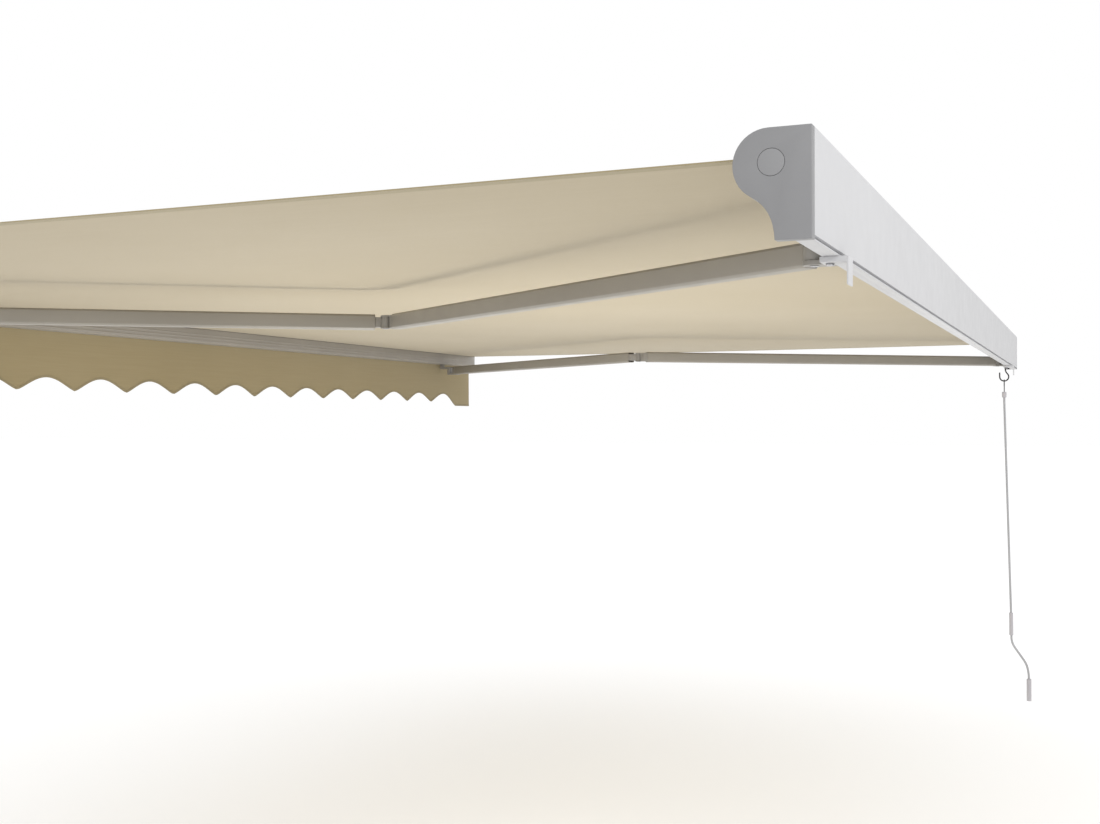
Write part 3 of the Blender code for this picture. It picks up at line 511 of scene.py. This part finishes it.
def valanceGrid(name, columns, rows, thickness, material, topAt, bottomAt):
    v = valanceSettings
    lowX, highX = valanceLow.x, valanceHigh.x
    bpy.ops.object.select_all(action="DESELECT")
    bpy.ops.mesh.primitive_grid_add(
        x_subdivisions=columns, y_subdivisions=rows, size=1.0, location=(0, 0, 0), rotation=(math.pi / 2, 0, 0)
    )
    piece = bpy.context.object
    piece.name = name
    applyPlace(piece)
    middleY = (valanceLow.y + valanceHigh.y) / 2
    for vertex in piece.data.vertices:
        x = lowX + (vertex.co.x + 0.5) * (highX - lowX)
        share = vertex.co.z + 0.5
        bottom = bottomAt(x)
        z = bottom + share * (topAt(x) - bottom)
        depth = min(max((valanceHigh.z - z) / (valanceHigh.z - valanceLow.z), 0.0), 1.0)
        vertex.co = (x, middleY + hangWave(x, depth ** 1.5), z)
    wall = piece.modifiers.new("thickness", "SOLIDIFY")
    wall.thickness = thickness
    wall.offset = 0.0
    applyModifiers(piece)
    smoothByAngle(piece, 50)
    setMaterial(piece, material)
    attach(piece, "front_bar")
    return piece


def makeValance():
    v = valanceSettings
    bottom = lambda x: valanceLow.z + edgeHeight(x)
    sheet = valanceGrid(
        "valanceCloth", v["columns"], v["rows"], v["thickness"], valanceCloth, lambda x: valanceHigh.z, bottom
    )
    binding = valanceGrid(
        "valanceBinding",
        v["columns"],
        1,
        v["bindingThickness"],
        bindingCloth,
        lambda x: bottom(x) + v["binding"],
        lambda x: bottom(x) - 0.0008,
    )
    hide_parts("valance")


makeValance()
print("valance made")

barSettings = {"ribs": (0.094, 0.106, 0.118), "ribHeight": 0.0052, "ribDepth": 0.0022}


# soft ribs along the front bar's rear face
def makeBarRibs():
    b = barSettings
    ribs = []
    for number, z in enumerate(b["ribs"]):
        bpy.ops.object.select_all(action="DESELECT")
        bpy.ops.mesh.primitive_cube_add(size=1.0, location=((barLow.x + barHigh.x) / 2, barHigh.y, z))
        rib = bpy.context.object
        rib.name = f"barRib{number + 1}"
        rib.scale = (barHigh.x - barLow.x - 0.001, b["ribDepth"], b["ribHeight"])
        applyPlace(rib)
        addBevel(rib, b["ribDepth"] * 0.48, 4, 60)
        applyModifiers(rib)
        smoothByAngle(rib, 50)
        setMaterial(rib, coatBar)
        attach(rib, "front_bar")
        ribs.append(rib)


makeBarRibs()

gripSettings = {"sides": 40, "lip": 0.0016, "bevel": 0.0018}


# a turned sleeve on the crank's rod, open round the rod at both ends
def makeGrip(node, name):
    g = gripSettings
    low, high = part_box(node)
    middle = (low + high) / 2
    radius = (high.x - low.x) / 2
    lean = math.atan2((high.y - low.y) - 2 * radius, high.z - low.z)
    bpy.ops.object.select_all(action="DESELECT")
    bpy.ops.mesh.primitive_cylinder_add(
        vertices=g["sides"], radius=radius, depth=(high.z - low.z) - 0.0004, location=middle, rotation=(lean, 0, 0)
    )
    grip = bpy.context.object
    grip.name = name
    applyPlace(grip)
    bpy.ops.object.mode_set(mode="EDIT")
    bpy.ops.mesh.select_all(action="DESELECT")
    bpy.ops.object.mode_set(mode="OBJECT")
    for face in grip.data.polygons:
        face.select = abs(face.normal.z) > 0.9
    bpy.ops.object.mode_set(mode="EDIT")
    bpy.ops.mesh.select_mode(type="FACE")
    bpy.ops.mesh.inset(thickness=radius * 0.4, depth=0.0)
    bpy.ops.mesh.inset(thickness=0.0004, depth=-g["lip"])
    bpy.ops.object.mode_set(mode="OBJECT")
    addBevel(grip, g["bevel"], 4, 50)
    applyModifiers(grip)
    smoothByAngle(grip, 40)
    setMaterial(grip, gripPlastic)
    standFor(grip, node)


makeGrip("upper_grip", "upperGripSleeve")
makeGrip("lower_grip", "lowerGripSleeve")
print("crank made")

stageSettings = {"floorZ": -1.75, "floorSize": 160.0, "floorColour": (0.93, 0.93, 0.93)}


def makeStage():
    s = stageSettings
    bpy.ops.object.select_all(action="DESELECT")
    bpy.ops.mesh.primitive_plane_add(size=s["floorSize"], location=(0, 0, s["floorZ"]))
    floor = bpy.context.object
    floor.name = "studioFloor"
    material, tree, shader = startMaterial("studioFloorPaint", s["floorColour"], 0.9)
    shader.inputs["Specular IOR Level"].default_value = 0.0
    shader.inputs["Emission Color"].default_value = (1.0, 1.0, 1.0, 1.0)
    shader.inputs["Emission Strength"].default_value = 0.15
    mixColours(
        tree, shader, addNoise(tree, objectCoordinate(tree), 0.5), s["floorColour"], scaled(s["floorColour"], 0.995)
    )
    setMaterial(floor, material)


lightSettings = {
    "world": 1.0,
    "below": {"place": (-1.6, -1.2, -1.6), "target": (-2.4, -1.6, 0.15), "size": 1.2, "power": 22.0},
    "rear": {"place": (1.5, 3.0, 2.2), "target": (-1.0, 0.0, 0.1), "size": 2.5, "power": 60.0},
}


def makeLight(name):
    l = lightSettings[name]
    direction = Vector(l["target"]) - Vector(l["place"])
    bpy.ops.object.light_add(
        type="AREA", location=l["place"], rotation=direction.to_track_quat("-Z", "Y").to_euler()
    )
    light = bpy.context.object
    light.name = name + "Light"
    light.data.shape = "DISK"
    light.data.size = l["size"]
    light.data.energy = l["power"]
    light.visible_camera = False


def makeLights():
    world = bpy.data.worlds.new("studio")
    world.use_nodes = True
    background = world.node_tree.nodes["Background"]
    background.inputs["Color"].default_value = (1.0, 1.0, 1.0, 1.0)
    background.inputs["Strength"].default_value = lightSettings["world"]
    bpy.context.scene.world = world
    makeLight("below")
    makeLight("rear")
    bpy.context.scene.view_settings.view_transform = "Standard"


makeStage()
makeLights()
print("stage and lights ready")
